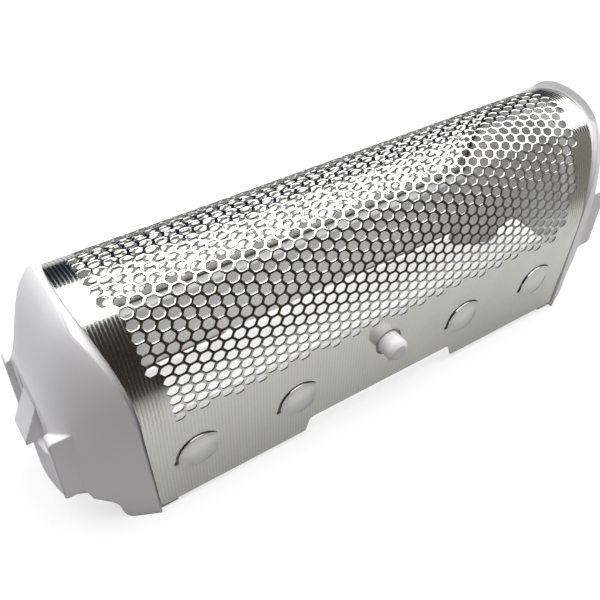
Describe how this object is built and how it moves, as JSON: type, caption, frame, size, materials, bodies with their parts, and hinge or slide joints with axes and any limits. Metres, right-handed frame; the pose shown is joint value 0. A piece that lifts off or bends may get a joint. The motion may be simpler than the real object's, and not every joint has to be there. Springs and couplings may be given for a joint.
{
  "type": "shaver foil head",
  "caption": "Arched perforated metal foil over a one-piece moulded frame with domed ends, guide ribs and latch noses; covers a shaver's cutter block.",
  "frame": {"origin": "middle of the plane that the four feet stand on", "axes": "+X along the head, -Y the pictured side, +Z from the feet to the crown of the arch"},
  "size_m": [0.0516, 0.0152, 0.0182],
  "materials": {
    "foil_metal": "satin, striped along the arch",
    "frame_plastic": "smooth white"
  },
  "bodies": {
    "root": {"foil": "foil_metal", "frame": "frame_plastic"}
  },
  "joints": []
}
